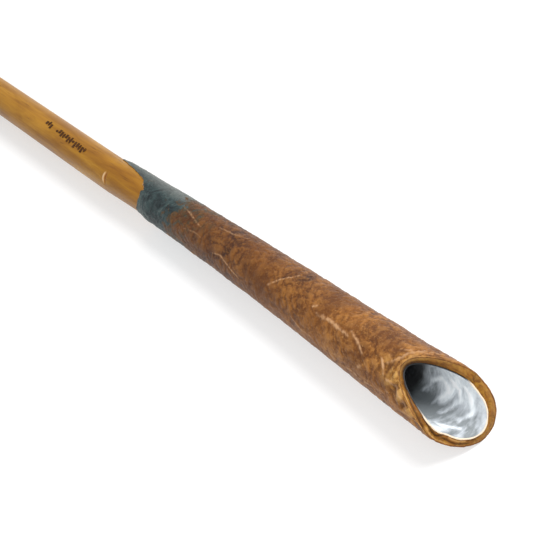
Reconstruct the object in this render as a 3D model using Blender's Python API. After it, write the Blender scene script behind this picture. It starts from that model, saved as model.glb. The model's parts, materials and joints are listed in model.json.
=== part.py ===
"""A long wooden lawn-game cue with a hollow, skin-covered head, lying on the ground with its mouth facing up.

Every piece is turned about one axis, the cue's own centre line. Along it, x runs from 0 at the butt
face to LENGTH at the lip of the mouth. The finished assembly hangs on the empty "cue_axis", which
tips it by a fraction of a degree so that the wide head and the slim butt both touch the ground.
"""

import math

import bmesh
import bpy
from mathutils import Vector

# Driving dimensions, in metres
LENGTH = 1.320          # butt face to the lip of the mouth
SHAFT_R = 0.0127        # a one-inch shaft
HEAD_R = 0.0212         # outside radius of the head at the ring of the mouth
NECK_R = 0.01436        # outside radius of the head where its taper starts
WAIST = 0.00068         # how far the head's side dips below a straight taper
GAP = 0.0003            # clearance that touching pieces keep

# The mouth: its edge leaves the head's ring forwards at the bottom and backwards at the top
LIP_REACH = 0.0137      # how far the lip stands in front of the ring
NOTCH_REACH = 0.0270    # how far the top of the mouth is cut back behind it
LIP_CURVE = 1.57
NOTCH_CURVE = 1.87
FULL_SIDE = 0.60        # how much rounder the lip is on its +Y side
FULL_ANGLE = math.radians(130)
FULL_SPREAD = math.radians(62)

# Lengths along the axis, counted back from the ring
RING_X = LENGTH - LIP_REACH
TAPER_LENGTH = 0.300
COLLAR_BACK = 0.298     # square part of the collar's rear edge
JOINT_BACK = 0.290      # shoulder of the shaft, end face of the core
SKIN_BACK = 0.266       # mean place of the ragged line where the collar meets the skin
TENON_LENGTH = 0.075
CUP_DEPTH = 0.150
CUP_DOME = 0.013

# Walls
SKIN_T = 0.0009
CORE_WALL = 0.0029
LINING_T = 0.0006
SEAM = 0.0006           # width of the skin's seam

# The collar's rear edge: a pointed tail on the +Y side, and a shallow wave elsewhere
TAIL_REACH = 0.052
TAIL_ANGLE = math.radians(73)
TAIL_SPREAD = math.radians(68)
EDGE_WAVE = 0.0012
COLLAR_EDGE_T = 0.0007
COLLAR_RISE = 3         # the collar reaches its full thickness a third of the way along

TENON_R = 0.0085
PIN_R = 0.0015
PIN_SEGMENTS = 20
PIN_BACK = {"rear_pin": 0.262, "front_pin": 0.232}

# Butt cap
CAP_R = 0.0138
CAP_LENGTH = 0.032
CAP_END_T = 0.006
CAP_ROUND = 0.002
CAP_LIP = 0.0005
SPIGOT_R = 0.0108
END_BEVEL = 0.001       # on the ends of the spigot and the tenon

SEGMENTS = 32           # sides of a turned piece, with a flat one underneath


# ---------------------------------------------------------------- shape rules

def smooth(t):
    t = min(1.0, max(0.0, t))
    return t * t * (3 - 2 * t)


def turn_between(a, b):
    """Smallest turn between two angles."""
    return abs((a - b + math.pi) % (2 * math.pi) - math.pi)


def head_radius(x):
    """Outside radius of the finished head at x."""
    t = min(1.05, max(0.0, (x - RING_X + TAPER_LENGTH) / TAPER_LENGTH))
    return NECK_R + (HEAD_R - NECK_R) * t - 4 * WAIST * t * max(0.0, 1 - t)


def mouth_x(angle):
    """Where the head ends at an angle about the axis. Angle 0 is the top of the mouth."""
    height = math.cos(angle)
    if height > 0:
        return RING_X - NOTCH_REACH * height ** NOTCH_CURVE
    fuller = FULL_SIDE * smooth(1 - turn_between(angle, FULL_ANGLE) / FULL_SPREAD)
    return RING_X + LIP_REACH * (-height) ** (LIP_CURVE - fuller)


def collar_rear_x(angle):
    tail = max(0.0, 1 - turn_between(angle, TAIL_ANGLE) / TAIL_SPREAD)
    wave = EDGE_WAVE * math.sin(5 * angle + 0.6)
    return RING_X - COLLAR_BACK - TAIL_REACH * tail + wave


def skin_rear_x(angle):
    """The ragged line where the collar ends and the skin begins."""
    ragged = 0.0030 * math.sin(2 * angle + 1.1) + 0.0018 * math.sin(7 * angle)
    return RING_X - SKIN_BACK + ragged


def collar_front_x(angle):
    return skin_rear_x(angle) - GAP


def skin_inner_radius(x):
    return head_radius(x) - SKIN_T


def core_radius(x):
    return head_radius(x) - SKIN_T - GAP


def cup_radius(x):
    """Radius of the hollow in the core."""
    return core_radius(x) - CORE_WALL


# ---------------------------------------------------------------- building tools

def material(name, colour, roughness, metallic=0.0):
    made = bpy.data.materials.new(name)
    made.use_nodes = True
    shader = made.node_tree.nodes["Principled BSDF"]
    shader.inputs["Base Color"].default_value = (*colour, 1.0)
    shader.inputs["Roughness"].default_value = roughness
    shader.inputs["Metallic"].default_value = metallic
    return made


def at(value, angle):
    """A ring's place or radius: either one number, or a rule that takes the angle."""
    return value(angle) if callable(value) else value


def turned(name, outline, finish, parent, segments=SEGMENTS):
    """Turns an outline of (x, radius) rings about the X axis.

    An outline that starts and ends on the axis closes there; any other closes on itself as a ring.
    """
    mesh = bmesh.new()
    angles = [2 * math.pi * (i + 0.5) / segments for i in range(segments)]
    rings = []
    for x, radius in outline:
        if radius == 0:
            rings.append([mesh.verts.new((x, 0, 0))])
            continue
        ring = []
        for angle in angles:
            place, r = at(x, angle), at(radius, angle)
            ring.append(mesh.verts.new((place, r * math.sin(angle), r * math.cos(angle))))
        rings.append(ring)
    pairs = list(zip(rings, rings[1:]))
    if len(rings[0]) > 1:
        pairs.append((rings[-1], rings[0]))
    for a, b in pairs:
        for i in range(segments):
            j = (i + 1) % segments
            if len(a) == 1:
                mesh.faces.new((a[0], b[j], b[i]))
            elif len(b) == 1:
                mesh.faces.new((a[i], a[j], b[0]))
            else:
                mesh.faces.new((a[i], a[j], b[j], b[i]))
    bmesh.ops.recalc_face_normals(mesh, faces=mesh.faces)
    return finished(name, mesh, finish, parent)


def finished(name, mesh, finish, parent):
    data = bpy.data.meshes.new(name)
    mesh.to_mesh(data)
    mesh.free()
    data.shade_smooth()
    data.set_sharp_from_angle(angle=math.radians(35))
    if finish:
        data.materials.append(finish)
    made = bpy.data.objects.new(name, data)
    bpy.context.scene.collection.objects.link(made)
    made.parent = parent
    return made


def block(name, size, centre, parent):
    mesh = bmesh.new()
    bmesh.ops.create_cube(mesh, size=1.0)
    bmesh.ops.scale(mesh, vec=size, verts=mesh.verts)
    bmesh.ops.translate(mesh, vec=centre, verts=mesh.verts)
    return finished(name, mesh, None, parent)


def cylinder_across(name, radius, half_length, x, finish, parent):
    """A short cylinder through the axis, lying along Y."""
    made = turned(
        name,
        [(-half_length, 0), (-half_length, radius), (half_length, radius), (half_length, 0)],
        finish,
        parent,
        PIN_SEGMENTS,
    )
    made.rotation_euler.z = math.pi / 2
    made.location.x = x
    return made


def cut(piece, cutter):
    cutter.hide_render = True
    cutter.display_type = "WIRE"
    modifier = piece.modifiers.new(cutter.name, "BOOLEAN")
    modifier.operation = "DIFFERENCE"
    modifier.solver = "EXACT"
    modifier.object = cutter


def stations(first, last, count):
    """Ring places spread evenly between two ends, each end a number or a rule of the angle."""
    def place(share):
        return lambda angle: at(first, angle) + share * (at(last, angle) - at(first, angle))
    return [place(i / (count - 1)) for i in range(count)]


def along(places, radius_at):
    """Rings at these places, on the surface whose radius at x is radius_at(x)."""
    return [(place, lambda angle, p=place: radius_at(at(p, angle))) for place in places]


def dome(rim_x, floor_x, rim_radius, steps):
    """Rings of a rounded cup floor, from its rim to its middle on the axis."""
    rings = []
    for i in range(1, steps):
        turn = i / steps * math.pi / 2
        rings.append((rim_x + (floor_x - rim_x) * math.sin(turn), rim_radius * math.cos(turn)))
    rings.append((floor_x, 0))
    return rings


# ---------------------------------------------------------------- the pieces

def make_shaft(parent, finish):
    """The round stick, with a spigot for the butt cap behind and a tenon for the head in front."""
    shoulder = RING_X - JOINT_BACK
    end = shoulder + TENON_LENGTH
    spigot = CAP_END_T + GAP
    return turned("shaft", [
        (spigot, 0),
        (spigot, SPIGOT_R - END_BEVEL),
        (spigot + END_BEVEL, SPIGOT_R),
        (CAP_LENGTH + GAP, SPIGOT_R),
        (CAP_LENGTH + GAP, SHAFT_R),
        (shoulder, SHAFT_R),
        (shoulder, TENON_R),
        (end - END_BEVEL, TENON_R),
        (end, TENON_R - END_BEVEL),
        (end, 0),
    ], finish, parent)


def make_core(parent, finish):
    """The hollowed wooden head: a socket behind for the tenon, the cup in front."""
    rear = RING_X - JOINT_BACK + GAP
    socket_end = RING_X - JOINT_BACK + TENON_LENGTH + GAP
    cup_floor = RING_X - CUP_DEPTH
    dome_rim = cup_floor + CUP_DOME
    socket_r = TENON_R + GAP
    return turned("head_core", [
        (socket_end, 0),
        (socket_end, socket_r),
        (rear, socket_r),
        *along(stations(rear, mouth_x, 10), core_radius),
        *along(stations(mouth_x, dome_rim, 7), cup_radius),
        *dome(dome_rim, cup_floor, cup_radius(dome_rim), 5),
    ], finish, parent)


def make_lining(parent, finish):
    """The thin silvered cup that lines the hollow, closed at its floor."""
    cup_floor = RING_X - CUP_DEPTH
    dome_rim = cup_floor + CUP_DOME
    def outer(x):
        return cup_radius(x) - GAP
    def inner(x):
        return outer(x) - LINING_T
    turned("cup_lining", [
        *reversed(dome(dome_rim, cup_floor + GAP, outer(dome_rim), 5)),
        *along(stations(dome_rim, mouth_x, 7), outer),
        *along(stations(mouth_x, dome_rim, 7), inner),
        *dome(dome_rim, cup_floor + GAP + LINING_T, inner(dome_rim), 5),
    ], finish, parent)


def make_skin(parent, finish):
    """One sheet wrapped round the head, with its edges meeting along the underside."""
    skin = turned("head_skin", [
        *along(stations(skin_rear_x, mouth_x, 10), head_radius),
        *along(stations(mouth_x, skin_rear_x, 10), skin_inner_radius),
    ], finish, parent)
    length = TAPER_LENGTH + 4 * LIP_REACH
    seam = block("seam_cutter", (length, SEAM, HEAD_R), (RING_X - TAPER_LENGTH / 2, 0, -HEAD_R), parent)
    cut(skin, seam)


def make_collar(parent, finish):
    """The painted collar over the joint, with a tail that runs back along the shaft."""
    shoulder = RING_X - JOINT_BACK
    bore = SHAFT_R + GAP
    edge = bore + COLLAR_EDGE_T
    steps = 8

    def outside(share):
        def place(angle):
            rear = collar_rear_x(angle)
            return rear + share * (collar_front_x(angle) - rear)

        def radius(angle):
            return edge + (head_radius(place(angle)) - edge) * smooth(COLLAR_RISE * share)
        return place, radius

    turned("neck_collar", [
        (collar_rear_x, bore),
        *[outside(i / steps) for i in range(steps + 1)],
        *along([collar_front_x, shoulder], lambda x: core_radius(x) + GAP),
        (shoulder, bore),
    ], finish, parent)


def make_pins(parent, finish, core, shaft):
    """Two cross pins that lock the tenon in its socket, hidden under the collar and the skin."""
    for name, back in PIN_BACK.items():
        x = RING_X - back
        cylinder_across(name, PIN_R, core_radius(x) - 2 * GAP, x, finish, parent)
        hole = cylinder_across(name + "_hole", PIN_R + GAP, 2 * HEAD_R, x, None, parent)
        cut(core, hole)
        cut(shaft, hole)


def make_butt_cap(parent, finish):
    """A push-on cap, closed by a flat end."""
    bore = SPIGOT_R + GAP
    corner = CAP_ROUND * (1 - math.sqrt(0.5))
    turned("butt_cap", [
        (0, 0),
        (0, CAP_R - CAP_ROUND),
        (corner, CAP_R - corner),
        (CAP_ROUND, CAP_R),
        (CAP_LENGTH - CAP_LIP, CAP_R),
        (CAP_LENGTH, CAP_R - CAP_LIP),
        (CAP_LENGTH, bore),
        (CAP_END_T, bore),
        (CAP_END_T, 0),
    ], finish, parent)


# ---------------------------------------------------------------- the assembly

def lay_on_ground(axis):
    """Tips the cue on to its lip and its butt, then puts the origin under the middle of its box."""
    axis.rotation_euler.y = -math.atan2(head_radius(LENGTH) - CAP_R, LENGTH - CAP_ROUND)
    bpy.context.view_layer.update()
    graph = bpy.context.evaluated_depsgraph_get()
    points = []
    for piece in axis.children:
        if piece.hide_render:
            continue
        shape = piece.evaluated_get(graph)
        points += [shape.matrix_world @ v.co for v in shape.data.vertices]
    lowest = Vector([min(p[i] for p in points) for i in range(3)])
    highest = Vector([max(p[i] for p in points) for i in range(3)])
    middle = (lowest + highest) / 2
    axis.location -= Vector((middle.x, middle.y, lowest.z))


def main():
    for old in list(bpy.data.objects):
        bpy.data.objects.remove(old, do_unlink=True)
    axis = bpy.data.objects.new("cue_axis", None)
    bpy.context.scene.collection.objects.link(axis)

    honey_wood = material("honey_wood", (0.48, 0.26, 0.07), 0.3)
    raw_wood = material("raw_wood", (0.42, 0.22, 0.06), 0.7)
    pin_wood = material("pin_wood", (0.34, 0.18, 0.07), 0.6)
    brown_skin = material("brown_skin", (0.22, 0.10, 0.04), 0.45)
    green_paint = material("green_paint", (0.05, 0.10, 0.09), 0.4)
    silver_paint = material("silver_paint", (0.60, 0.64, 0.67), 0.35, 0.8)
    rubber = material("dark_rubber", (0.03, 0.02, 0.02), 0.7)

    shaft = make_shaft(axis, honey_wood)
    core = make_core(axis, raw_wood)
    make_lining(axis, silver_paint)
    make_skin(axis, brown_skin)
    make_collar(axis, green_paint)
    make_pins(axis, pin_wood, core, shaft)
    make_butt_cap(axis, rubber)
    lay_on_ground(axis)


main()
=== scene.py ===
"""Looks of the lawn-game cue: varnished shaft, painted collar, crinkled hide, carved rim, silvered cup."""
import json
import math

import bmesh
import bpy
import numpy as np
from mathutils import Matrix, Vector, noise


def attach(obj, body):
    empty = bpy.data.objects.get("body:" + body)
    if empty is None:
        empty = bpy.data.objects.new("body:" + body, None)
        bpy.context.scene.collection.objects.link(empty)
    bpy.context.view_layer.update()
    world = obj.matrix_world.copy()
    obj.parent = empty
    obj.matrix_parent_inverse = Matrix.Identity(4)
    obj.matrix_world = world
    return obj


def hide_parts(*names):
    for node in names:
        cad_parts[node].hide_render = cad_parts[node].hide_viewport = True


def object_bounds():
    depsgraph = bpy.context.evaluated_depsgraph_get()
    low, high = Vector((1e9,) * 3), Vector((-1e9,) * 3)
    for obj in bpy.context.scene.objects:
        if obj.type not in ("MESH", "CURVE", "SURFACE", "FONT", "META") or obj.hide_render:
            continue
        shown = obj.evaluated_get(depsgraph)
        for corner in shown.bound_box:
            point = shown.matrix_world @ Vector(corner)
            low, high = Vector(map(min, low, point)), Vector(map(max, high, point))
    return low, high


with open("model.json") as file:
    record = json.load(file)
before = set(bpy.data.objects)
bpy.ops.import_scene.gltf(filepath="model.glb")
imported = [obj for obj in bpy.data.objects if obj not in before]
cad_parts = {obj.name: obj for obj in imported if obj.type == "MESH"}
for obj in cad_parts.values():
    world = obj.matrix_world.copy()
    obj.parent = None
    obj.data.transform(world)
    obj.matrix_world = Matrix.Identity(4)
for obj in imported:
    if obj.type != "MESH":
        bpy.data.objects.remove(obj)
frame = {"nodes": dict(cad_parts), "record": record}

cad_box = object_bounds()

# The cue's own axis, from the flat end of the butt: x forwards to the mouth, z to the open side
butt = frame["record"]["mounts"][0]
FORWARD = -Vector(butt["axis"]).normalized()
SIDE = Vector((0, 1, 0))
AXIS = Matrix((FORWARD, SIDE, FORWARD.cross(SIDE))).transposed().to_4x4()
AXIS.translation = Vector(butt["pos_m"])

# Driving sizes, in metres. Every s below is counted forwards from the ring of the mouth.
LENGTH = 1.320
LIP_REACH = 0.0137
NOTCH_REACH = 0.0270
LIP_CURVE = 1.57
NOTCH_CURVE = 1.87
RING_X = LENGTH - LIP_REACH
TAPER = 0.300
HEAD_R = 0.0210
NECK_R = 0.01420
WAIST = 0.00068
SHAFT_R = 0.01265
HIDE_T = 0.0009
WALL = 0.0048           # from the hide's outside to the cup
CUP_DEPTH = 0.150
CAP_LENGTH = 0.032
JOINT_S = -0.266        # where the collar meets the hide
HALF_JOINT = 0.00005    # half the gap between the two
MM = 0.001
HIDE_SINK = 0.12 * MM   # the hide's mean surface lies this far in, so that its folds stay inside the box
CORE_INSET = 1.2 * MM   # the core's outside, under the hide
LINING_INSET = 0.75 * MM
ARC_R = 18              # millimetres, a mean radius for distances measured round the head

# The lip is fuller on its +Y side and its lower +Y corner stands out. Angles are degrees from the top.
FULL_SIDE = 0.60
FULL_ANGLE = 130
FULL_SPREAD = 62
CORNER_RISE = 1.2 * MM
CORNER_ANGLE = 156
CORNER_SPREAD = 50
CORNER_REACH = 0.022

# Ends of the parts that meet under the collar
SHAFT_END = -0.2895
COLLAR_STEP = -0.289
CORE_REAR = -0.2885

# The head bows a little to the +Y side between the neck and the mouth
BOW = 0.00195
BOW_START = -0.345
BOW_END = -0.030
STICK_BOW = 0.00085         # and the stick behind it bows less than a millimetre
STICK_START = -0.370
STICK_SPAN = 0.650

TURN = 2 * math.pi


# ---------------------------------------------------------------- shape rules

def smooth(t):
    t = min(1.0, max(0.0, t))
    return t * t * (3 - 2 * t)


def bump(value, centre, reach):
    """1 at the centre, falling smoothly to 0 at this reach on both sides."""
    return smooth(1 - abs(value - centre) / reach)


DRIFT_OFFSETS = ((0, 0, 0), (31.7, 5.1, 12.9), (8.3, 47.2, 27.6))


def ripple(point):
    """Smooth noise, about -1 to 1."""
    return noise.noise(point)


def drift(point):
    """Three ripples read far apart. noise.noise_vector isn't used: its values change from run to run."""
    return Vector([ripple(point + Vector(offset)) for offset in DRIFT_OFFSETS])


def wrap(angle):
    return (angle + math.pi) % TURN - math.pi


def bow(s):
    head = min(1.0, max(0.0, (s - BOW_START) / (BOW_END - BOW_START)))
    stick = min(1.0, max(0.0, (STICK_START - s) / STICK_SPAN))
    return BOW * math.sin(math.pi * head ** 0.85) + STICK_BOW * math.sin(math.pi * stick)


def head_radius(s):
    t = min(1.05, max(0.0, (s + TAPER) / TAPER))
    return NECK_R + (HEAD_R - NECK_R) * t - 4 * WAIST * t * max(0.0, 1 - t)


def mouth_s(angle):
    height = math.cos(angle)
    if height > 0:
        return -NOTCH_REACH * height ** NOTCH_CURVE
    fuller = FULL_SIDE * bump(math.degrees(wrap(angle)), FULL_ANGLE, FULL_SPREAD)
    return LIP_REACH * (-height) ** (LIP_CURVE - fuller)


def corner(s, angle):
    """The head's lower +Y corner stands out a little at the lip."""
    degrees = math.degrees(wrap(angle)) % 360
    at_lip = smooth((s + CORNER_REACH) / CORNER_REACH)
    return CORNER_RISE * bump(degrees, CORNER_ANGLE, CORNER_SPREAD) * at_lip


def wall_at(angle):
    """The rim is thicker on its +Y side, with a small step at the lower -Y side."""
    degrees = math.degrees(wrap(angle))
    return WALL + (1.3 * bump(degrees, 110, 75) + 0.7 * bump(degrees, -118, 16)) * MM


# The collar's rear edge on the shaft, as (angle in degrees, s in millimetres)
COLLAR_REAR = (
    (-180, -300), (-120, -302), (-74, -301), (-53, -298.4), (-38, -298), (-23, -297.4), (-10, -298.6),
    (-3, -296.9), (4, -298.5), (10, -302), (23, -304.5), (29, -309), (33, -314), (42, -323), (52, -336),
    (65, -347), (80, -349), (100, -338), (130, -314), (150, -302), (180, -300),
)


def along_edge(points, angle):
    """Reads an edge, given as (degrees, millimetres) points, at an angle in radians."""
    degrees = math.degrees(wrap(angle))
    for (a0, s0), (a1, s1) in zip(points, points[1:]):
        if degrees <= a1:
            return (s0 + (s1 - s0) * smooth((degrees - a0) / (a1 - a0))) * MM
    return points[-1][1] * MM


def collar_rear(angle):
    return along_edge(COLLAR_REAR, angle)


def joint_s(angle):
    return JOINT_S + 0.0030 * math.sin(2 * angle + 1.1) + 0.0018 * math.sin(7 * angle)


def place(s, angle, radius):
    return AXIS @ Vector((RING_X + s, bow(s) + radius * math.sin(angle), radius * math.cos(angle)))


# ---------------------------------------------------------------- creases and scratches of the hide

# Each stroke runs through (s in millimetres, angle in degrees) points: width and height in millimetres, tone
STROKES = (
    (((-260, 1), (-254, 17), (-242, 11), (-231, 0), (-225, -3)), 1.1, 0.20, 0.50),
    (((-204, -39), (-196, -32), (-186, -42), (-174, -53)), 0.9, 0.15, 0.60),
    (((-146, -26), (-141, -9), (-132, 18), (-130, 30)), 0.8, 0.20, 0.8),
    (((-99, -14), (-87, -11), (-75, -13), (-70, -14)), 1.9, 0.30, 0.75),
    (((-70, -4), (-60, -14), (-54, -24)), 1.3, 0.25, 0.7),
    (((-41, -10), (-37.5, -19), (-34.6, -30)), 1.1, 0.45, 1.0),
    (((-75, -77), (-62, -66), (-51, -70), (-43, -64)), 1.0, 0.35, 0.65),
    (((-212, 20), (-196, 26), (-187, 38)), 0.8, 0.15, 0.4),
    (((-120, -50), (-108, -62), (-99, -60)), 0.9, 0.18, 0.45),
    (((-35, 18), (-26, 30), (-19, 43)), 0.9, 0.15, 0.5),
    (((-104, -7), (-102, -3)), 1.2, 0.20, 1.0),
    (((-55, -48), (-53, -45)), 1.2, 0.20, 0.9),
    (((-240, -30), (-228, -22), (-219, -24)), 0.7, 0.12, 0.35),
    (((-178, 120), (-160, 131), (-149, 128)), 0.9, 0.2, 0.6),
    (((-90, 150), (-70, 140), (-66, 120)), 1.0, 0.2, 0.6),
    (((-230, -130), (-205, -118)), 1.0, 0.2, 0.6),
    (((-36, -14), (-31, 2), (-29, 18), (-24, 38), (-16, 56)), 1.5, 0.5, 0.55),
    (((-31, -34), (-24, -33), (-17, -46), (-11, -64)), 1.2, 0.45, 0.6),
)


def stroke_reach(points, width, s, arc):
    """How strongly a point of the hide belongs to a stroke, from 0 to 1."""
    nearest = 1e9
    for (s0, a0), (s1, a1) in zip(points, points[1:]):
        ax, ay = s0, math.radians(a0) * ARC_R
        bx, by = s1 - ax, math.radians(a1) * ARC_R - ay
        t = min(1.0, max(0.0, ((s - ax) * bx + (arc - ay) * by) / (bx * bx + by * by)))
        nearest = min(nearest, math.hypot(s - ax - t * bx, arc - ay - t * by))
    return smooth(1 - nearest / width)


def hide_shape(s, angle):
    """The hide's height above its plain surface, in metres, and its wear, scratch tone and relief, 0 to 1."""
    s_mm, arc = s / MM, wrap(angle) * ARC_R
    at = Vector((s_mm, math.sin(angle) * ARC_R, math.cos(angle) * ARC_R))
    warped = at + 3.5 * drift(at * 0.11)
    lumps = ripple(at * 0.05)
    folds = abs(ripple(warped * 0.17))
    crinkle = abs(ripple(warped * 0.42 + Vector((5, 1, 8))))
    grain = ripple(at * 1.1 + Vector((3, 7, 1)))
    relief = min(1.0, 1.5 * folds + 0.9 * crinkle + 0.25 * grain)
    height = 0.30 * lumps + 0.42 * (relief - 0.45)
    tone = 0.0
    for points, width, rise, light in STROKES:
        if points[0][0] - 6 < s_mm < points[-1][0] + 6:
            middle = (points[0][0] + points[-1][0]) / 2
            taper = 1 - (abs(s_mm - middle) / (points[-1][0] - middle + 3)) ** 2
            ragged = width * max(0.1, 0.35 + 0.65 * taper + 0.9 * ripple(at * 0.9))
            hit = stroke_reach(points, ragged, s_mm, arc)
            height += rise * hit
            broken = smooth(0.75 + 1.1 * ripple(at * 0.55 + Vector((2, 6, 3))))
            tone = max(tone, light * hit * broken)
    from_edge = (mouth_s(angle) - s) / MM
    side = bump(wrap(angle), math.radians(-35), math.radians(80))
    wear = 0.95 * smooth(1 - from_edge / (5 + 21 * side)) * (0.35 + 0.65 * side)
    gouge = ripple(warped * 0.24 + Vector((9, 2, 4)))
    carved = side * smooth(1.15 - from_edge / 24)
    height += carved * 1.7 * min(0.35, gouge)
    relief = min(1.0, max(0.0, relief + carved * 1.1 * (gouge + 0.05)))
    height -= 0.25 * smooth(1 - from_edge / 2.0)
    return height * MM, wear, min(1.0, tone), relief


def hide_radius(s, angle):
    return head_radius(s) - HIDE_SINK + hide_shape(s, angle)[0]


# ---------------------------------------------------------------- mesh tools

def add_object(name, data):
    made = bpy.data.objects.new(name, data)
    bpy.context.scene.collection.objects.link(made)
    return made


def ring_mesh(name, rows, marks, finish, closed):
    """A body of revolution from rows of points. A closed one loops; an open one is capped at both ends.

    marks holds, for each row, a list of four values for its points, or None.
    """
    columns = len(rows[0])
    points = [p for row in rows for p in row]
    faces = []
    pairs = [(i, i + 1) for i in range(len(rows) - 1)]
    if closed:
        pairs.append((len(rows) - 1, 0))
    for a, b in pairs:
        for i in range(columns):
            j = (i + 1) % columns
            faces.append((a * columns + j, a * columns + i, b * columns + i, b * columns + j))
    if not closed:
        for row, flip in ((0, False), (len(rows) - 1, True)):
            centre = len(points)
            points.append(sum(rows[row], Vector()) / columns)
            for i in range(columns):
                a, b = row * columns + i, row * columns + (i + 1) % columns
                faces.append((centre, b, a) if flip else (centre, a, b))
    data = bpy.data.meshes.new(name)
    data.from_pydata([tuple(p) for p in points], [], faces)
    data.validate()
    colours = data.color_attributes.new("marks", "FLOAT_COLOR", "POINT")
    values = np.zeros((len(points), 4), dtype=np.float32)
    values[:, 3] = 0.5
    if marks:
        for r, row in enumerate(marks):
            if row:
                values[r * columns:(r + 1) * columns] = row
    colours.data.foreach_set("color", values.ravel())
    data.shade_smooth()
    data.materials.append(finish)
    return add_object(name, data)


def angles(columns):
    return [TURN * i / columns for i in range(columns)]


def keep_inside(piece):
    """Holds the piece's points inside the CAD model's box."""
    low, high = cad_box
    for v in piece.data.vertices:
        v.co = [min(high[i], max(low[i], v.co[i])) for i in range(3)]


def outwards(piece):
    """Turns the mesh's faces outwards if its volume comes out negative."""
    mesh = bmesh.new()
    mesh.from_mesh(piece.data)
    if mesh.calc_volume(signed=True) < 0:
        bmesh.ops.reverse_faces(mesh, faces=mesh.faces)
        mesh.to_mesh(piece.data)
    mesh.free()


def add_piece(piece, slot, *nodes):
    outwards(piece)
    keep_inside(piece)
    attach(piece, "root")
    if nodes:
        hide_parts(*nodes)
    return piece


# ---------------------------------------------------------------- node tools

class Shader:
    """Builds a material's nodes with short calls. A socket or a value can be given for any input."""

    def __init__(self, name):
        self.material = bpy.data.materials.new(name)
        self.material.use_nodes = True
        self.tree = self.material.node_tree
        self.principled = self.tree.nodes["Principled BSDF"]
        self.place = self.node("ShaderNodeTexCoord").outputs["Object"]
        marks = self.tree.nodes.new("ShaderNodeAttribute")
        marks.attribute_name = "marks"
        self.relief = marks.outputs["Alpha"]
        self.marks = self.node("ShaderNodeSeparateColor", Color=marks.outputs["Color"])

    def node(self, kind, **inputs):
        made = self.tree.nodes.new(kind)
        for key, value in inputs.items():
            self.link(made.inputs[key.replace("_", " ")], value)
        return made

    def link(self, socket, value):
        if isinstance(value, bpy.types.NodeSocket):
            self.tree.links.new(value, socket)
        else:
            socket.default_value = value

    def stretched(self, scale, turn=(0, 0, 0)):
        made = self.node("ShaderNodeMapping", Vector=self.place)
        made.inputs["Scale"].default_value = scale
        made.inputs["Rotation"].default_value = turn
        return made.outputs["Vector"]

    def noise(self, scale, detail=4.0, roughness=0.6, vector=None, distortion=0.0):
        made = self.node("ShaderNodeTexNoise", Scale=scale, Detail=detail, Roughness=roughness,
                         Vector=vector or self.place, Distortion=distortion)
        return made.outputs["Fac"]

    def ramp(self, value, *stops):
        """Colours or greys by value: each stop is (position, colour or grey)."""
        made = self.node("ShaderNodeValToRGB", Fac=value)
        elements = made.color_ramp.elements
        while len(elements) < len(stops):
            elements.new(0.5)
        for element, (position, colour) in zip(elements, stops):
            element.position = position
            shade = colour if isinstance(colour, tuple) else (colour,) * 3
            element.color = (*shade, 1)
        return made.outputs["Color"]

    def math(self, operation, a, b=0.0, clamp=False):
        made = self.tree.nodes.new("ShaderNodeMath")
        made.operation = operation
        made.use_clamp = clamp
        self.link(made.inputs[0], a)
        self.link(made.inputs[1], b)
        return made.outputs[0]

    def mix(self, factor, a, b, blend="MIX"):
        made = self.tree.nodes.new("ShaderNodeMix")
        made.data_type = "RGBA"
        made.blend_type = blend
        self.link(made.inputs[0], factor)
        for socket, value in ((made.inputs[6], a), (made.inputs[7], b)):
            self.link(socket, (*value, 1) if isinstance(value, tuple) else value)
        return made.outputs[2]

    def bumps(self, *layers):
        """Stacks bump layers, each (height, strength, distance in metres)."""
        normal = None
        for height, strength, distance in layers:
            made = self.node("ShaderNodeBump", Height=height, Strength=strength, Distance=distance)
            if normal:
                self.link(made.inputs["Normal"], normal)
            normal = made.outputs["Normal"]
        self.link(self.principled.inputs["Normal"], normal)

    def surface(self, colour, roughness, **fixed):
        self.link(self.principled.inputs["Base Color"], colour)
        self.link(self.principled.inputs["Roughness"], roughness)
        for key, value in fixed.items():
            self.principled.inputs[key.replace("_", " ")].default_value = value
        return self.material


# ---------------------------------------------------------------- materials

def varnished_wood():
    """Honey-coloured wood under varnish. Marks: red is a painted highlight on a ridge, green painted shade in
    a cut.
    """
    m = Shader("varnished_honey_wood")
    fibres = m.noise(1.0, 5, 0.65, m.stretched((10, 420, 420)), 0.4)
    streaks = m.noise(1.0, 4, 0.6, m.stretched((7, 70, 70)), 1.0)
    clouds = m.noise(17, 3, 0.55)
    patches = m.noise(1.0, 4, 0.6, m.stretched((16, 120, 120)), 0.5)
    colour = m.ramp(streaks, (0.34, (0.160, 0.055, 0.002)), (0.44, (0.270, 0.114, 0.005)),
                    (0.55, (0.345, 0.160, 0.008)), (0.66, (0.410, 0.208, 0.022)))
    colour = m.mix(m.ramp(fibres, (0.44, 0.0), (0.70, 0.6)), colour, (0.22, 0.085, 0.006))
    colour = m.mix(m.ramp(clouds, (0.42, 0.0), (0.66, 0.5)), colour, (0.36, 0.168, 0.018))
    colour = m.mix(m.ramp(patches, (0.50, 0.0), (0.66, 0.70)), colour, (0.19, 0.072, 0.004))
    flecks = m.noise(1.0, 2, 0.5, m.stretched((45, 800, 800)))
    colour = m.mix(m.ramp(flecks, (0.66, 0.0), (0.75, 0.75)), colour, (0.10, 0.035, 0.004))
    # The nick: its raised ridge is painted pale as a highlight, its cut painted dark as shade
    colour = m.mix(m.marks.outputs["Red"], colour, (0.62, 0.40, 0.21))
    colour = m.mix(m.marks.outputs["Green"], colour, (0.20, 0.060, 0.012))
    m.bumps((fibres, 0.3, 0.0002), (clouds, 0.3, 0.0008))
    return m.surface(colour, m.ramp(clouds, (0.3, 0.40), (0.7, 0.52)), Specular_IOR_Level=0.18,
                     Coat_Weight=0.14, Coat_Roughness=0.25, Coat_IOR=1.38)


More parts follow.
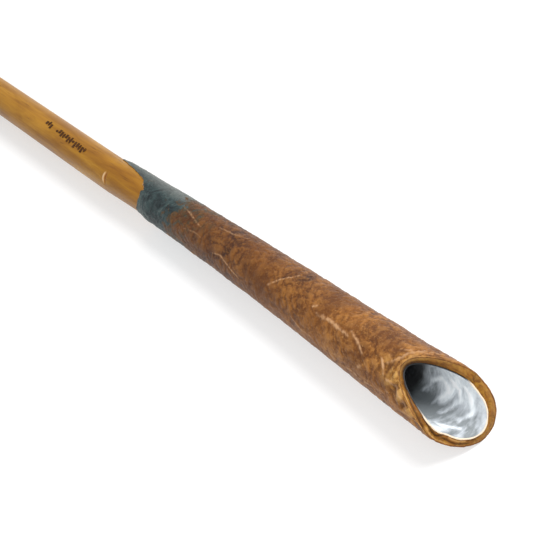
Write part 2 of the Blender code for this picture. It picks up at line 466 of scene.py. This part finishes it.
def crinkled_hide():
    """Brown mottled hide. Marks: red is wear to tan, green is light scratches, blue is blue-green paint."""
    m = Shader("crinkled_brown_hide")
    blotch = m.noise(85, 7, 0.74, distortion=0.6)
    grain = m.noise(520, 5, 0.75, distortion=0.7)
    broad = m.noise(24, 3, 0.5)
    specks = m.noise(900, 3, 0.6)
    colour = m.ramp(blotch, (0.36, (0.065, 0.019, 0.002)), (0.45, (0.150, 0.050, 0.006)),
                    (0.52, (0.240, 0.090, 0.014)), (0.60, (0.300, 0.126, 0.024)),
                    (0.70, (0.400, 0.190, 0.050)))
    colour = m.mix(m.ramp(grain, (0.38, 0.70), (0.50, 0.0)), colour, (0.085, 0.026, 0.002))
    colour = m.mix(m.ramp(grain, (0.54, 0.0), (0.66, 0.75)), colour, (0.440, 0.210, 0.055))
    # Darker in the hollows of the folds and gouges: painted shade; lighter on their crests: painted highlight
    colour = m.mix(m.ramp(m.relief, (0.10, 0.65), (0.36, 0.0)), colour, (0.070, 0.021, 0.002))
    colour = m.mix(m.ramp(m.relief, (0.50, 0.0), (0.95, 0.55)), colour, (0.400, 0.185, 0.050))
    colour = m.mix(m.ramp(broad, (0.44, 0.0), (0.64, 0.45)), colour, (0.270, 0.098, 0.010))
    pools = m.noise(34, 4, 0.6, distortion=0.5)
    colour = m.mix(m.ramp(pools, (0.50, 0.0), (0.60, 0.55)), colour, (0.115, 0.036, 0.004))
    colour = m.mix(m.ramp(specks, (0.62, 0.0), (0.72, 0.6)), colour, (0.50, 0.28, 0.11))
    axes = m.node("ShaderNodeSeparateXYZ", Vector=m.place)
    shade = m.ramp(axes.outputs["X"], (0.37, (0.38, 0.33, 0.24)), (0.45, (0.47, 0.39, 0.23)),
                   (0.53, (0.69, 0.62, 0.45)), (0.58, (0.90, 0.86, 0.75)))
    colour = m.mix(1.0, colour, shade, "MULTIPLY")
    worn = m.math("MULTIPLY", m.marks.outputs["Red"], m.ramp(blotch, (0.36, 0.25), (0.50, 1.0)), True)
    tan = m.ramp(grain, (0.36, (0.11, 0.038, 0.003)), (0.48, (0.23, 0.095, 0.010)),
                 (0.62, (0.37, 0.18, 0.038)))
    # The worn tan also gets painted shade in the hollows and a painted highlight on the crests
    tan = m.mix(m.ramp(m.relief, (0.10, 0.85), (0.38, 0.0)), tan, (0.07, 0.022, 0.002))
    tan = m.mix(m.ramp(m.relief, (0.60, 0.0), (0.90, 0.75)), tan, (0.50, 0.28, 0.080))
    colour = m.mix(worn, colour, tan)
    colour = m.mix(m.marks.outputs["Green"], colour, (0.52, 0.30, 0.15))
    ragged = m.math("MULTIPLY", m.math("SUBTRACT", m.noise(120, 5, 0.7, distortion=1.0), 0.5), 3.0)
    near_paint = m.math("MULTIPLY", m.marks.outputs["Blue"], 6.0, True)
    paint_cover_and_shading = m.math("ADD", m.marks.outputs["Blue"], m.math("MULTIPLY", ragged, near_paint))
    paint = m.ramp(paint_cover_and_shading, (0.40, 0.0), (0.62, 1.0))
    daubs = m.noise(95, 5, 0.65, distortion=0.8)
    teal = m.ramp(daubs, (0.38, (0.004, 0.008, 0.010)), (0.47, (0.014, 0.026, 0.027)),
                  (0.56, (0.028, 0.048, 0.048)), (0.66, (0.060, 0.078, 0.072)), (0.78, (0.020, 0.090, 0.088)))
    # The paint is also darker in the hollows of the folds: painted shade
    teal = m.mix(m.ramp(m.relief, (0.10, 0.6), (0.36, 0.0)), teal, (0.012, 0.016, 0.018))
    # Paler grey on the +Y side, where the key light falls: a painted sheen
    painted_sheen_side = m.ramp(m.math("MULTIPLY", axes.outputs["Y"], 60.0), (0.30, 0.0), (0.85, 0.85))
    teal = m.mix(painted_sheen_side, teal, (0.125, 0.135, 0.125))
    stain = m.ramp(paint_cover_and_shading, (0.08, 0.0), (0.34, 0.75), (0.60, 0.75))
    colour = m.mix(stain, colour, (0.050, 0.034, 0.014))
    colour = m.mix(paint, colour, teal)
    m.bumps((blotch, 0.45, 0.0007), (grain, 0.6, 0.0005), (specks, 0.25, 0.0002))
    return m.surface(colour, m.ramp(grain, (0.35, 0.62), (0.65, 0.46)), Specular_IOR_Level=0.22,
                     Coat_Weight=0.05, Coat_Roughness=0.35, Sheen_Weight=0.04, Sheen_Roughness=0.5)


def cut_wood():
    """The ochre wood of the rim. Marks: red is a pale ridge, partly wear and partly painted highlight; green
    painted shade; blue the bore's painted shade.
    """
    m = Shader("cut_ochre_wood")
    fibres = m.noise(1.0, 5, 0.65, m.stretched((90, 420, 420)), 0.8)
    patches = m.noise(170, 5, 0.65, distortion=1.0)
    colour = m.ramp(fibres, (0.36, (0.105, 0.034, 0.001)), (0.50, (0.190, 0.080, 0.004)),
                    (0.64, (0.270, 0.130, 0.013)))
    colour = m.mix(m.ramp(patches, (0.46, 0.0), (0.62, 0.7)), colour, (0.215, 0.076, 0.006))
    # Pale ridges: partly wear, partly painted highlight. Dark hollows: painted shade.
    colour = m.mix(m.marks.outputs["Red"], colour, (0.48, 0.26, 0.085))
    colour = m.mix(m.marks.outputs["Green"], colour, (0.050, 0.016, 0.002))
    # Near black deep in the bore: painted shade
    colour = m.mix(m.marks.outputs["Blue"], colour, (0.006, 0.005, 0.005))
    m.bumps((fibres, 0.5, 0.0004), (patches, 0.5, 0.0006))
    return m.surface(colour, m.ramp(fibres, (0.3, 0.62), (0.7, 0.45)), Specular_IOR_Level=0.22)


def brushed_silver():
    """Silver paint laid on by a turning brush.

    Marks: red is the bare cream edge, green a bright brush stroke, blue painted shade deep in the bore.
    Relief carries painted shading: darker deeper in the cup and towards -Y below, lighter on the +Y side.
    """
    m = Shader("brushed_silver_paint")
    strokes = m.noise(1.0, 3, 0.5, m.stretched((60, 30, 30), (0.25, 0.55, 0.3)), 1.6)
    hairs = m.noise(1.0, 4, 0.6, m.stretched((420, 110, 110), (0.1, 0.45, 0.2)), 0.9)
    cloud = m.noise(240, 4, 0.6, distortion=1.0)
    level = m.math("MULTIPLY", m.relief, 0.62)
    level = m.math("ADD", level, m.math("MULTIPLY", m.marks.outputs["Green"], 0.42))
    level = m.math("ADD", level, m.math("MULTIPLY", m.math("SUBTRACT", strokes, 0.5), 1.6))
    level = m.math("ADD", level, m.math("MULTIPLY", m.math("SUBTRACT", hairs, 0.5), 0.30))
    level = m.math("ADD", level, m.math("MULTIPLY", m.math("SUBTRACT", cloud, 0.5), 0.35), True)
    colour = m.ramp(level, (0.10, (0.23, 0.25, 0.26)), (0.32, (0.44, 0.47, 0.50)), (0.54, (0.68, 0.72, 0.75)),
                    (0.74, (0.86, 0.90, 0.92)), (0.92, (0.98, 0.99, 1.0)))
    bare = m.marks.outputs["Red"]
    dark = m.marks.outputs["Blue"]
    colour = m.mix(bare, colour, (0.74, 0.60, 0.45))
    # Near black deep in the bore: painted shade
    colour = m.mix(dark, colour, (0.050, 0.051, 0.053))
    metal = m.math("MULTIPLY", m.math("SUBTRACT", 1.0, bare), 0.15, True)
    metal = m.math("MULTIPLY", metal, m.math("SUBTRACT", 1.0, dark), True)
    m.link(m.principled.inputs["Metallic"], metal)
    m.bumps((level, 0.5, 0.0009), (hairs, 0.4, 0.0004))
    return m.surface(colour, m.math("ADD", 0.40, m.math("MULTIPLY", dark, 0.5)), Specular_IOR_Level=0.35)


def moulded_rubber():
    m = Shader("dark_moulded_rubber")
    grain = m.noise(900, 3, 0.6)
    scuffs = m.noise(1.0, 4, 0.6, m.stretched((300, 60, 60)), 0.8)
    colour = m.ramp(grain, (0.3, (0.012, 0.010, 0.009)), (0.7, (0.030, 0.026, 0.024)))
    colour = m.mix(m.ramp(scuffs, (0.58, 0.0), (0.74, 0.6)), colour, (0.085, 0.075, 0.068))
    m.bumps((grain, 0.3, 0.0002), (scuffs, 0.2, 0.0003))
    return m.surface(colour, m.ramp(scuffs, (0.3, 0.55), (0.7, 0.75)), Specular_IOR_Level=0.35)


def dowel_wood():
    m = Shader("bare_dowel_wood")
    grain = m.noise(1.0, 4, 0.6, m.stretched((900, 60, 900)))
    colour = m.ramp(grain, (0.35, (0.20, 0.09, 0.03)), (0.65, (0.36, 0.19, 0.07)))
    m.bumps((grain, 0.3, 0.0002))
    return m.surface(colour, 0.6, Specular_IOR_Level=0.4)


def burnt_ink():
    m = Shader("burnt_brown_mark")
    worn = m.noise(1400, 3, 0.6)
    colour = m.ramp(worn, (0.35, (0.026, 0.009, 0.002)), (0.60, (0.070, 0.024, 0.004)),
                    (0.72, (0.20, 0.080, 0.010)))
    m.bumps((worn, 0.2, 0.0001))
    return m.surface(colour, 0.6, Specular_IOR_Level=0.15)


FLOOR_GLOW = 0.42


def pale_floor():
    m = Shader("pale_floor")
    faint = m.noise(3, 2, 0.5)
    return m.surface(m.ramp(faint, (0.0, 0.56), (1.0, 0.58)), 0.9, Specular_IOR_Level=0.0,
                     Emission_Color=(1, 1, 1, 1), Emission_Strength=FLOOR_GLOW)


# ---------------------------------------------------------------- the shaft

NICK_S = -0.3435
NICK_ANGLE = math.radians(-36)


def make_shaft(finish):
    """The round stick from the butt cap to just under the collar, with a small crescent nick."""
    columns = 96
    start, end = -RING_X + CAP_LENGTH + 0.0003, SHAFT_END
    places = list(np.arange(start, -0.36, 0.004)) + list(np.arange(-0.36, -0.325, 0.0004))
    places += list(np.arange(-0.325, end, 0.003)) + [end]
    rows, marks = [], []
    for s in places:
        row, tones = [], []
        for angle in angles(columns):
            at = Vector((s * 8, math.sin(angle) * 0.6, math.cos(angle) * 0.6))
            radius = SHAFT_R + (0.06 * ripple(at) - 0.05) * MM
            arc = wrap(angle - NICK_ANGLE) * SHAFT_R / MM
            curve = (s - NICK_S) / MM - 0.07 * arc * arc
            along = smooth(1.6 - abs(arc) / 3.2)
            cut = smooth(1.2 - abs(curve - 0.9) / 1.3) * along
            ridge = smooth(1.2 - abs(curve + 1.1) / 1.1) * along
            radius += (0.15 * ridge - 0.60 * cut) * MM
            row.append(place(s, angle, radius))
            # Red paints a highlight on the nick's ridge, green paints shade in its cut
            tones.append((ridge, cut * 0.8, 0, 0.5))
        rows.append(row)
        marks.append(tones)
    back = [place(start, a, SHAFT_R - 2 * MM) for a in angles(columns)]
    stick = ring_mesh("shaft_stick", [back] + rows, [None] + marks, finish, False)
    return add_piece(stick, "honey_wood", "shaft")


def mark_outline(kind, steps):
    """Outline of one small mark, in its own units: a lozenge, a bar or a dot."""
    if kind == "lozenge":
        return [(-0.62, 0), (-0.25, 1), (0.25, 1), (0.62, 0), (0.25, -1), (-0.25, -1)]
    if kind == "bar":
        return [(-0.50, -1), (0.50, -1), (0.50, 1), (-0.50, 1)]
    return [(math.cos(TURN * i / steps) * 0.6, math.sin(TURN * i / steps) * 0.8) for i in range(steps)]


MARKS_FROM, MARKS_TO = -0.439, -0.379
MARK_LONG, MARK_WIDE = 2.7, 1.35    # half sizes of a mark of unit size, in millimetres
MARK_LIFT = (0.14, 0.24)            # its underside and its top above the shaft, in millimetres

# Each mark is (shape, height), with None for a blank
MARKS = (
    ("bar", 1.0), ("lozenge", 1.5), ("bar", 1.4), (None, 1), (None, 1),
    ("dot", 0.9), ("bar", 1.2), ("bar", 1.5), ("lozenge", 1.4), ("bar", 1.2), ("bar", 1.6),
    ("lozenge", 2.0), ("dot", 1.0), ("bar", 1.9), ("bar", 1.4), ("lozenge", 1.6), ("bar", 1.7),
    ("lozenge", 1.2),
)


def make_marks(finish):
    """A row of small burnt marks along the top of the shaft: two groups with no meaning, worn by use."""
    points, faces = [], []
    for i, (kind, tall) in enumerate(MARKS):
        if kind is None:
            continue
        share = i / (len(MARKS) - 1)
        s0 = MARKS_FROM + (MARKS_TO - MARKS_FROM) * share
        angle0 = math.radians(8 - 9 * share + 3 * math.sin(i * 2.3))
        outline = mark_outline(kind, 8)
        base = len(points)
        for lift in MARK_LIFT:
            for dx, dy in outline:
                s = s0 + dx * MARK_LONG * MM
                angle = angle0 + dy * tall * MARK_WIDE * MM / SHAFT_R
                points.append(tuple(place(s, angle, SHAFT_R + lift * MM)))
        n = len(outline)
        faces.append(tuple(range(base, base + n)))
        faces.append(tuple(range(base + 2 * n - 1, base + n - 1, -1)))
        for k in range(n):
            j = (k + 1) % n
            faces.append((base + j, base + k, base + n + k, base + n + j))
    data = bpy.data.meshes.new("burnt_marks")
    data.from_pydata(points, [], faces)
    data.materials.append(finish)
    return add_piece(add_object("burnt_marks", data), "honey_wood")


# ---------------------------------------------------------------- the collar and the hide

def paint_at(s, angle):
    """How much paint the head carries: whole on the collar, scuffed away past the joint."""
    past = s - joint_s(angle)
    return max(smooth(0.72 - past / 0.034), 0.22 * smooth(1 - past / 0.070))


def make_collar(finish):
    columns, steps = 192, 60
    rows, marks = [], []
    for i in range(steps + 1):
        share = i / steps
        row, tones = [], []
        for angle in angles(columns):
            rear = collar_rear(angle)
            s = rear + share * (joint_s(angle) - HALF_JOINT - rear)
            full = hide_radius(s, angle)
            edge = SHAFT_R + 0.55 * MM
            rise = smooth((s - rear) / 0.012)
            row.append(place(s, angle, max(SHAFT_R + 0.3 * MM, edge + (full - edge) * rise)))
            lip = smooth(1 - (s - rear) / (1.5 * MM)) * 0.9
            tones.append((lip * 0.4, lip, paint_at(s, angle) * (1 - 0.7 * lip), hide_shape(s, angle)[3]))
        rows.append(row)
        marks.append(tones)
    inner = SHAFT_R + 0.15 * MM
    front = [place(joint_s(a) - HALF_JOINT, a, head_radius(JOINT_S) - 1.1 * MM) for a in angles(columns)]
    step = [place(COLLAR_STEP, a, head_radius(COLLAR_STEP) - 1.1 * MM) for a in angles(columns)]
    under = [place(COLLAR_STEP - 0.0003, a, inner) for a in angles(columns)]
    back = [place(collar_rear(a), a, inner) for a in angles(columns)]
    rows += [front, step, under, back]
    return add_piece(ring_mesh("painted_collar", rows, marks, finish, True), "green_paint", "neck_collar")


def make_hide(finish):
    """The wrapped hide, its outside worked into crinkles and creases, with a seam along the underside."""
    columns, steps = 224, 330
    rows, marks = [], []
    for i in range(steps + 1):
        share = i / steps
        row, tones = [], []
        for angle in angles(columns):
            start, end = joint_s(angle) + HALF_JOINT, mouth_s(angle)
            s = start + share * (end - start)
            height, wear, tone, relief = hide_shape(s, angle)
            from_seam = abs(wrap(angle - math.pi)) * head_radius(s) / MM
            seam = -0.55 * smooth(1 - from_seam / 0.7) + 0.12 * bump(from_seam, 1.3, 0.7)
            row.append(place(s, angle, head_radius(s) + corner(s, angle) - HIDE_SINK + height + seam * MM))
            tones.append((wear, tone, paint_at(s, angle), relief))
        rows.append(row)
        marks.append(tones)
    for i in range(13):
        share = 1 - i / 12
        row = []
        for angle in angles(columns):
            start, end = joint_s(angle) + HALF_JOINT, mouth_s(angle)
            s = start + share * (end - start)
            row.append(place(s, angle, head_radius(s) + corner(s, angle) - HIDE_T - 0.1 * MM))
        rows.append(row)
    return add_piece(ring_mesh("crinkled_skin", rows, marks, finish, True), "brown_skin", "head_skin")


# ---------------------------------------------------------------- the rim and the cup

# Knife marks on the rim, as (degrees, share from outside to cup) points. Then their width and depth in
# millimetres, and their tone, light above zero and dark below it.
# The tone paints the cut-in marks dark as shade and the raised ones and the +Y outer edge pale as highlight.
RIM_CUTS = (
    (((-28, 0.95), (-48, 0.70), (-62, 0.50), (-77, 0.30)), 0.9, 1.0, -0.9),
    (((-68, 0.95), (-88, 0.80), (-104, 0.60), (-112, 0.85)), 0.9, 1.0, -0.9),
    (((-114, 0.60), (-135, 0.35), (-150, 0.45)), 0.7, 0.8, -0.8),
    (((-150, 0.80), (-172, 0.90)), 0.5, 0.4, -0.6),
    (((58, 0.80), (88, 0.88)), 0.4, 0.3, -0.5),
    (((-36, 0.35), (-56, 0.15), (-80, 0.05)), 0.9, -0.3, 0.9),
    (((-80, 0.50), (-95, 0.30), (-110, 0.10)), 0.9, -0.3, 0.8),
    (((-112, 0.25), (-128, 0.10), (-145, 0.10)), 0.7, -0.2, 0.7),
    (((-122, 0.85), (-134, 0.75), (-145, 0.80)), 0.8, -0.2, 0.7),
    (((150, 0.10), (110, 0.08), (80, 0.10)), 0.4, 0.0, 0.5),
)
RIM_ARC = 0.32              # millimetres along the rim for each degree
RIM_WIDTH = 4.5             # millimetres across it


def rim_cuts(degrees, share):
    """The depth of the knife marks at a point of the rim, in millimetres, and how light or dark it is."""
    depth = tone = 0.0
    for points, width, sink, light in RIM_CUTS:
        scaled = tuple((a * RIM_ARC, math.degrees(t * RIM_WIDTH / ARC_R)) for a, t in points)
        hit = stroke_reach(scaled, width, degrees * RIM_ARC, share * RIM_WIDTH)
        depth += sink * hit
        tone += light * hit
    return depth, tone


def rim_work(angle, share):
    """How far the knife marks move the rim's face back, in metres, with its ridge tone, partly painted
    highlight, and its painted shade.

    share runs from 0 at the rim's outer edge to 1 at the cup. The -Y side is cut in lobes and the other
    is smooth.
    """
    degrees = math.degrees(wrap(angle))
    rough = bump(degrees, -80, 85)
    chatter = ripple(Vector((degrees * 0.22, share * 2.5, 9)))
    chips = ripple(Vector((degrees * 0.09, share * 1.1, 4)))
    sink, tone = rim_cuts(degrees, share)
    across = math.sin(math.pi * min(1.0, share * 1.1))
    back = sink + 0.8 * rough * across + 0.45 * chatter * (0.25 + rough)
    back += 0.3 * (1 - share) ** 4 + 0.5 * share ** 6
    # The face under the top of the rim (brow) is painted dark as shade, and its outer edge above pale as a
    # highlight.
    under_brow = bump(degrees, 12, 62)
    brow = under_brow * smooth((share - 0.45) * 4) * 0.9
    ridge = max(tone, 0.8 * under_brow * (1 - share) ** 2, 0.5 * (1 - share) ** 3 * smooth(chips * 2 + 0.7))
    dark = max(brow, -tone, rough * smooth(chatter * 2 - 0.3) * 0.5)
    return back * MM, max(0.0, ridge) * (1 - brow), min(1.0, dark)


DOME = 0.012                # depth of the cup's rounded end
DOME_STEPS = 6
BORE_SHADE = (0, 0, 1, 0.5)  # marks of a point deep in the bore, painted near black as shade


def dome_rows(start, depth, radius, spots):
    """Rows of points that close the cup behind this place with a dome."""
    rows = []
    for i in range(1, DOME_STEPS):
        turn = i / DOME_STEPS * math.pi / 2
        s = start - depth * math.sin(turn)
        rows.append([place(s, a, (radius - wall_at(a)) * math.cos(turn)) for a in spots])
    return rows


def make_rim(finish):
    """The wooden core: its outside lies under the hide, its face is the rim, and its bore is the cup."""
    columns, face_steps = 288, 14
    spots = angles(columns)
    rows, marks = [], []
    for s in (CORE_REAR, -0.25, -0.2, -0.15, -0.1, -0.06, -0.04):
        rows.append([place(s, a, head_radius(s) - CORE_INSET) for a in spots])
        marks.append(None)
    for i in range(face_steps + 1):
        share = i / face_steps
        row, tones = [], []
        for a in spots:
            back, ridge, dark = rim_work(a, share)
            s = mouth_s(a) - back
            outer = head_radius(s) + corner(s, a) - (0.30 * MM if share == 0 else 0.15 * MM)
            inner = head_radius(s) - wall_at(a)
            row.append(place(s, a, outer + share * (inner - outer)))
            # Ridge tones are partly wear and partly painted highlight; dark tones are painted shade.
            tones.append((ridge, dark, 0, 0.5))
        if i == 0:
            rows.append([place(mouth_s(a) - 0.004, a, head_radius(mouth_s(a)) - CORE_INSET) for a in spots])
            marks.append(None)
        rows.append(row)
        marks.append(tones)
    # The bore is painted near black as shade
    for i in range(1, 13):
        share = i / 12
        row = []
        for a in spots:
            first = mouth_s(a) - 0.0012
            s = first + share * (-CUP_DEPTH + DOME - first)
            row.append(place(s, a, head_radius(s) - wall_at(a)))
        rows.append(row)
        marks.append([BORE_SHADE] * columns)
    dome_s = -CUP_DEPTH + DOME
    rows += dome_rows(dome_s, DOME, head_radius(dome_s), spots)
    marks += [[BORE_SHADE] * columns] * (DOME_STEPS - 1)
    return add_piece(ring_mesh("carved_rim", rows, marks, finish, False), "raw_wood", "head_core")


# The broad strokes in the silver, as (s in millimetres, degrees from the underside) points
BRUSH_STROKES = (
    ((-14, 19), (-11, -3), (-8, -27), (-10, -45), (-15.5, -57)),
    ((-23, 16), (-20, -8), (-17, -27), (-20, -43)),
    ((-31.5, -2), (-30, -27), (-24, -47)),
    ((-2, 10), (2, -15), (-1, -40), (-6, -62)),
    ((-8, 48), (-3, 36), (2, 22)),
)


def make_lining(finish):
    """The silver coat of the cup, laid on in uneven strokes, with a pale bare edge where it ends."""
    columns = 192
    spots = angles(columns)
    rows, marks = [], []

    def wall(s, a):
        at = Vector((s / MM * 0.22, math.sin(a) * 1.7, math.cos(a) * 1.7))
        return head_radius(s) - wall_at(a) - LINING_INSET + 0.16 * MM * ripple(at)

    def shown(a):
        """The cream edge shows along the bottom and fades out towards the top of the mouth."""
        degrees = math.degrees(wrap(a))
        return smooth((abs(degrees) - (48 if degrees < 0 else 70)) / 25)

    def edge_width(a):
        ragged = ripple(Vector((math.sin(a) * 5, math.cos(a) * 5, 2)))
        return (0.10 + shown(a) * (0.50 + 0.45 * ragged)) * MM

    def brushed(s, a):
        """How strongly a point lies in one of the broad bright brush strokes."""
        at = Vector((s / MM * 0.3, math.sin(a) * 4, math.cos(a) * 4))
        width = 2.6 + 1.4 * ripple(at)
        arc = wrap(a - math.pi) * ARC_R
        return max(stroke_reach(points, width, s / MM, arc) for points in BRUSH_STROKES)

    floor_s = -CUP_DEPTH + 0.0125
    for share in [i / 70 for i in range(71)]:
        row, tones = [], []
        for a in spots:
            lip = mouth_s(a) - 0.0003
            s = lip + share ** 1.6 * (floor_s - lip)
            depth = (lip - s) / MM
            row.append(place(s, a, wall(s, a)))
            ragged = ripple(Vector((math.sin(a) * 3, math.cos(a) * 3, s * 90)))
            # lip_shade paints shade just inside the top of the lip; past about 32 mm deep the coat is painted
            # near black as shade
            lip_shade = (1 - shown(a)) * smooth(1.2 - depth / 1.2)
            dark = max(smooth((-s / MM - 32 + 2.5 * ragged) / 6), lip_shade)
            cream = smooth(1.3 - depth / (edge_width(a) / MM * 0.6)) * shown(a)
            degrees = math.degrees(wrap(a))
            # Painted shading: darker deeper in the cup and at the bottom towards -Y, lighter on the +Y side,
            # where the light falls
            paint_cover_and_shading = 0.55 + 0.35 * smooth((s / MM + 33) / 27)
            paint_cover_and_shading += 0.30 * bump(degrees, 100, 75) - 0.58 * bump(degrees % 360, 200, 65)
            tones.append((cream, brushed(s, a), dark, paint_cover_and_shading))
        rows.append(row)
        marks.append(tones)
    dome_r = head_radius(floor_s) - LINING_INSET
    rows += dome_rows(floor_s, 0.0115, dome_r, spots)
    marks += [[BORE_SHADE] * columns] * (DOME_STEPS - 1)
    rows.reverse()
    marks.reverse()
    for out, lift in ((0.5, 0.22), (1.0, 0.05), (1.0, -0.25)):
        row = []
        for a in spots:
            reach = edge_width(a) * out
            s = mouth_s(a) + lift * MM - rim_work(a, 0.9)[0] * 0.6
            row.append(place(s, a, wall(s, a) + 0.2 * MM + reach))
        rows.append(row)
        # Where the cream edge doesn't show, the edge is painted dark as shade
        marks.append([(shown(a), 0, 1 - shown(a), 0.5) for a in spots])
    for share in (0.0, 0.3, 0.7, 1.0):
        row = []
        for a in spots:
            lip = mouth_s(a) - 0.0018
            s = lip + share * (floor_s - lip)
            row.append(place(s, a, head_radius(s) - wall_at(a) - 0.15 * MM))
        rows.append(row)
        marks.append([BORE_SHADE] * columns)
    rows += dome_rows(floor_s, 0.0122, dome_r + 0.6 * MM, spots)
    marks += [[BORE_SHADE] * columns] * (DOME_STEPS - 1)
    return add_piece(ring_mesh("silvered_cup", rows, marks, finish, False), "silver_paint", "cup_lining")


# ---------------------------------------------------------------- the butt

def make_butt_cap(finish):
    """A moulded rubber cap with three shallow grip grooves and a flat end."""
    columns = 96
    radius = 0.0137
    groove = 0.45 * MM
    profile = [(0.0, radius - 2.0 * MM)]
    for i in range(1, 7):
        turn = i / 6 * math.pi / 2
        profile.append((2.0 * MM * (1 - math.cos(turn)), radius - 2.0 * MM * (1 - math.sin(turn))))
    for start in (9, 14, 19):
        for i in range(9):
            sink = groove * math.sin(math.pi * i / 8)
            profile.append(((start + 2.2 * i / 8) * MM, radius - sink))
    profile += [(CAP_LENGTH - 0.8 * MM, radius), (CAP_LENGTH - 0.2 * MM, radius - 0.2 * MM),
                (CAP_LENGTH, radius - 0.7 * MM), (CAP_LENGTH - 0.1 * MM, radius - 1.6 * MM)]
    rows = [[place(x - RING_X, a, r) for a in angles(columns)] for x, r in profile]
    return add_piece(ring_mesh("rubber_cap", rows, None, finish, False), "dark_rubber", "butt_cap")


# ---------------------------------------------------------------- stage, light and camera

FLOOR_HALF = 4.0


def make_stage(finish):
    half = FLOOR_HALF
    corners = [(-half, -half, 0), (half, -half, 0), (half, half, 0), (-half, half, 0)]
    mesh = bpy.data.meshes.new("floor")
    mesh.from_pydata(corners, [], [(0, 1, 2, 3)])
    mesh.materials.append(finish)
    add_object("floor", mesh)


def add_light(name, where, target, size, power):
    data = bpy.data.lights.new(name, "AREA")
    data.shape = "DISK"
    data.size = size
    data.energy = power
    made = add_object(name, data)
    made.location = where
    made.rotation_euler = (target - where).to_track_quat("-Z", "Y").to_euler()


SKY_LEVEL = 0.66

# Lights: place from their target in metres, width in metres, power in watts
KEY_FROM, KEY_SIZE, KEY_POWER = Vector((0.25, 0.85, 1.15)), 0.8, 22
FILL_FROM, FILL_SIZE, FILL_POWER = Vector((0.65, -0.55, 0.75)), 0.35, 5.0


def make_world():
    world = bpy.data.worlds.new("soft_white_studio")
    world.use_nodes = True
    background = world.node_tree.nodes["Background"]
    background.inputs["Color"].default_value = (0.98, 0.99, 1.0, 1.0)
    background.inputs["Strength"].default_value = SKY_LEVEL
    bpy.context.scene.world = world


def make_lights():
    middle = place(-0.15, 0, 0)
    add_light("key", middle + KEY_FROM, middle, KEY_SIZE, KEY_POWER)
    mouth = place(0, 0, 0)
    add_light("fill", mouth + FILL_FROM, mouth, FILL_SIZE, FILL_POWER)
    bpy.context.scene.view_settings.view_transform = "Standard"


# The camera, in the cue's own axes, counted from the ring of the mouth
CAMERA_AT = Vector((0.3944, -0.08508, 0.5480))
CAMERA_LOOK = Vector((-0.70762, 0.11401, -0.69733))
CAMERA_UP = Vector((-0.39443, 0.75509, 0.52371))
LENS = 85.1
SENSOR = 36.0


def make_camera():
    data = bpy.data.cameras.new("camera")
    data.lens, data.sensor_width = LENS, SENSOR
    camera = add_object("camera", data)
    back = -CAMERA_LOOK.normalized()
    right = CAMERA_UP.cross(back).normalized()
    turn = Matrix((right, back.cross(right), back)).transposed()
    camera.matrix_world = AXIS @ Matrix.Translation(Vector((RING_X, 0, 0)) + CAMERA_AT) @ turn.to_4x4()
    bpy.context.scene.camera = camera


def give(node, finish):
    """Puts a material on a CAD node that keeps its own shape."""
    for slot in frame["nodes"][node].material_slots:
        slot.material = finish


hide = crinkled_hide()
make_shaft(varnished_wood())
make_marks(burnt_ink())
make_collar(hide)
make_hide(hide)
make_rim(cut_wood())
make_lining(brushed_silver())
make_butt_cap(moulded_rubber())
dowel = dowel_wood()
give("rear_pin", dowel)
give("front_pin", dowel)
make_stage(pale_floor())
make_world()
make_lights()
make_camera()
